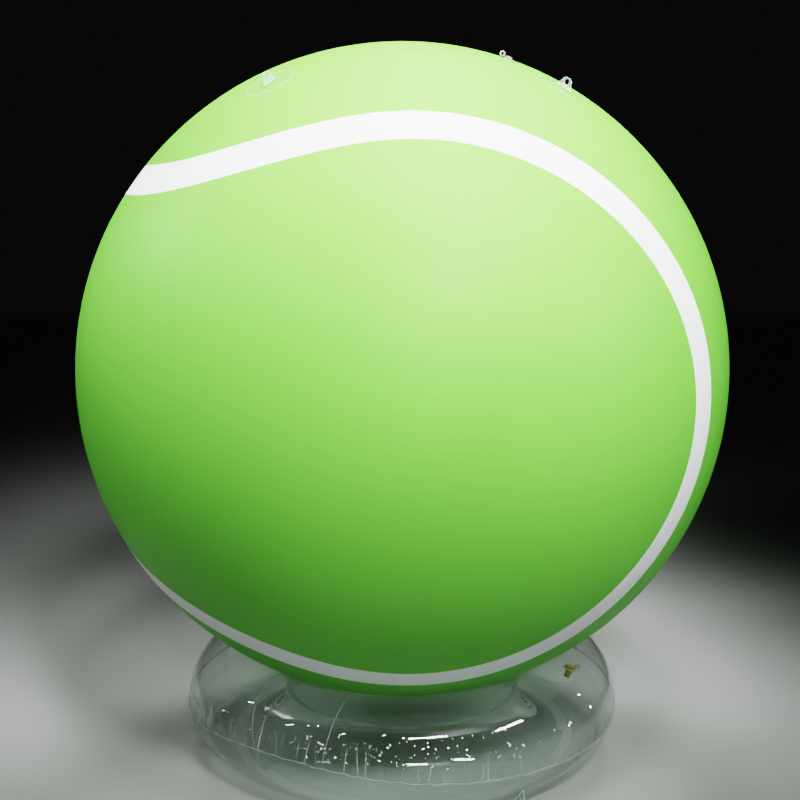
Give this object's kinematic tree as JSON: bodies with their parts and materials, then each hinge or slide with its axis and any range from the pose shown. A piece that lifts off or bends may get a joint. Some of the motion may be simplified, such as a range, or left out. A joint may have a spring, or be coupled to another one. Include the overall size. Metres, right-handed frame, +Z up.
{
  "type": "inflatable crowd ball on an inflatable ring",
  "caption": "Giant inflatable lime ball with a waved white stripe, crown eyelet tabs and a valve, seated on a clear inflatable ring.",
  "frame": {"origin": "on the floor, under the ball's centre, which is the bottom centre of the bounding box", "axes": "+Z up, -Y to the front as pictured, +X to the right as seen from the front"},
  "size_m": [1.7995, 1.7986, 1.9603],
  "materials": {
    "lime_film": "satin-gloss welded vinyl film",
    "white_film": "satin-gloss welded vinyl film",
    "clear_film": "glossy clear vinyl film",
    "valve_white": "soft moulded white vinyl"
  },
  "bodies": {
    "root": {"envelope_panel_a": "lime_film", "envelope_panel_b": "lime_film", "envelope_stripe": "white_film", "ring_panel_upper": "clear_film", "ring_panel_lower": "clear_film", "ball_tab_patch_1": "clear_film", "ball_tab_patch_2": "clear_film", "ball_tab_patch_3": "clear_film", "ball_tab_patch_4": "clear_film", "ring_tab_patch_1": "clear_film", "ring_tab_patch_2": "clear_film", "ring_tab_patch_3": "clear_film", "ball_tab_plate_1": "clear_film", "ball_tab_plate_2": "clear_film", "ball_tab_plate_3": "clear_film", "ball_tab_plate_4": "clear_film", "ring_tab_plate_1": "clear_film", "ring_tab_plate_2": "clear_film", "ring_tab_plate_3": "clear_film", "ball_valve_body": "valve_white", "ball_valve_plug": "valve_white", "ring_valve_body": "valve_white", "ring_valve_plug": "valve_white"}
  },
  "joints": []
}
